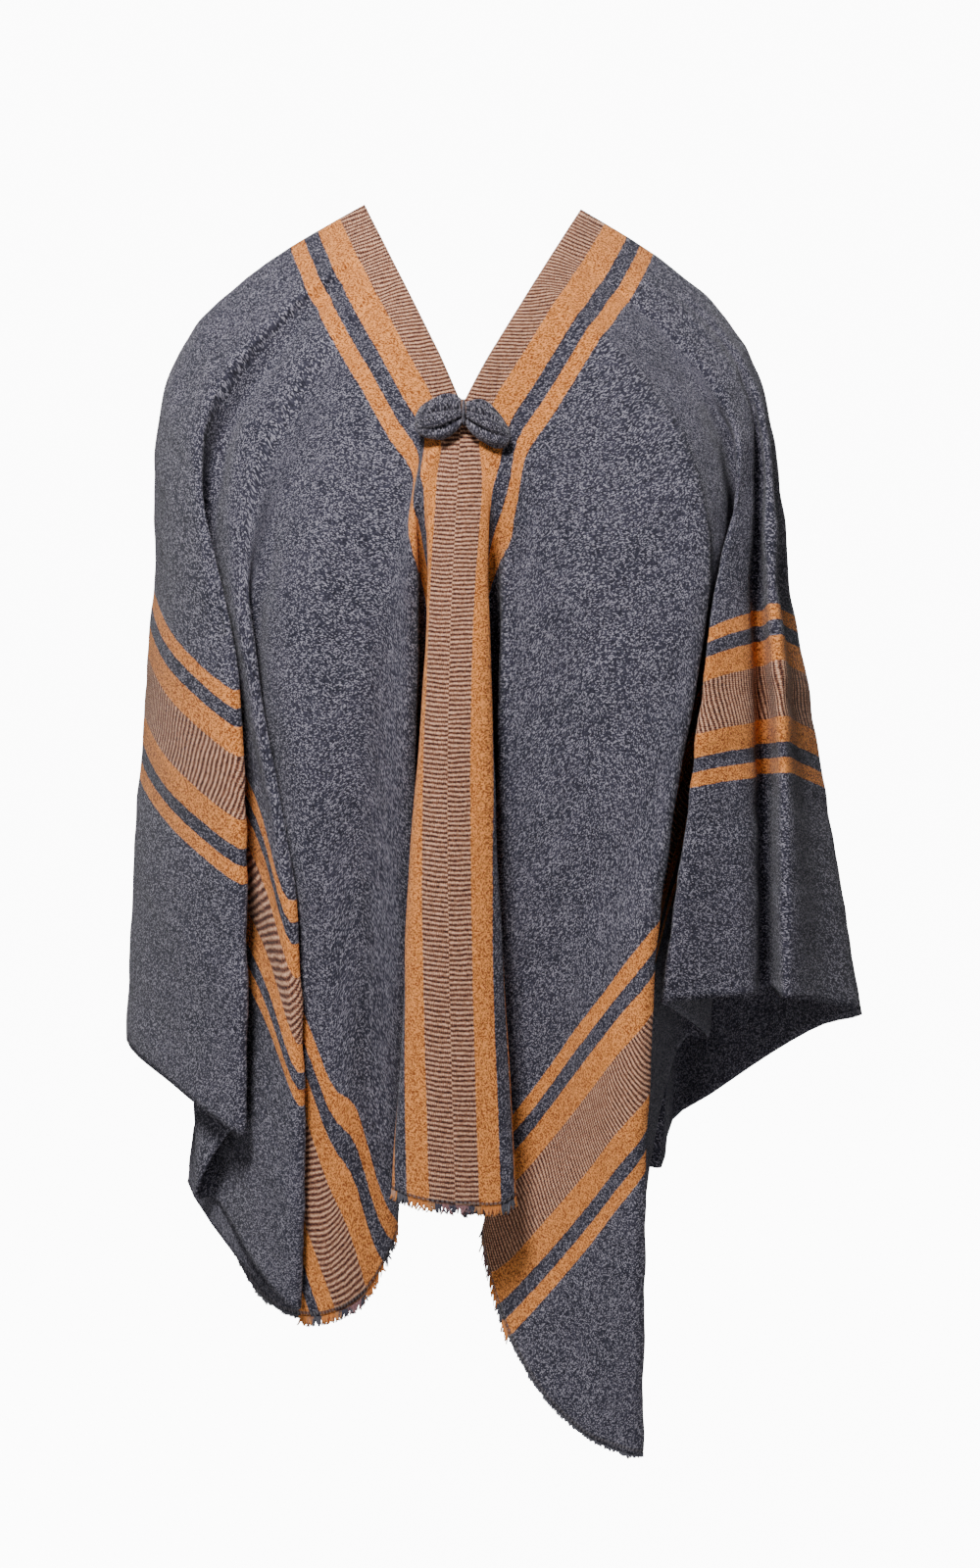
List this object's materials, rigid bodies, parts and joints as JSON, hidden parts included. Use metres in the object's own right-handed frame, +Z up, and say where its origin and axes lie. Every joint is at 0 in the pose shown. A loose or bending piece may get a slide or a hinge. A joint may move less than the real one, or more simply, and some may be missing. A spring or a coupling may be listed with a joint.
{
  "type": "worn poncho with a bow at its neck slit",
  "caption": "Handwoven poncho as worn, hollow: one draped cloth with a neck slit, striped bands, a front box pleat, a small bow and fringed hems.",
  "frame": {"origin": "midway between the two neck points, at shoulder height, where the wearer's shoulders hold the cloth", "axes": "+Z up, the front with its bow faces -Y, +X to the right as seen from the front"},
  "size_m": [0.6527, 0.4203, 1.0734],
  "materials": {
    "cloth": "coarse handwoven slate wool with orange, navy and brown ribbed bands",
    "bow": "the same slate wool, padded and gathered",
    "fringe": "frayed wool yarn ends in the colours of the bands"
  },
  "bodies": {
    "root": {"front": "cloth", "back": "cloth", "front_fringe": "fringe", "back_fringe": "fringe", "bow_left_loop": "bow", "bow_right_loop": "bow", "bow_knot": "bow"}
  },
  "joints": []
}
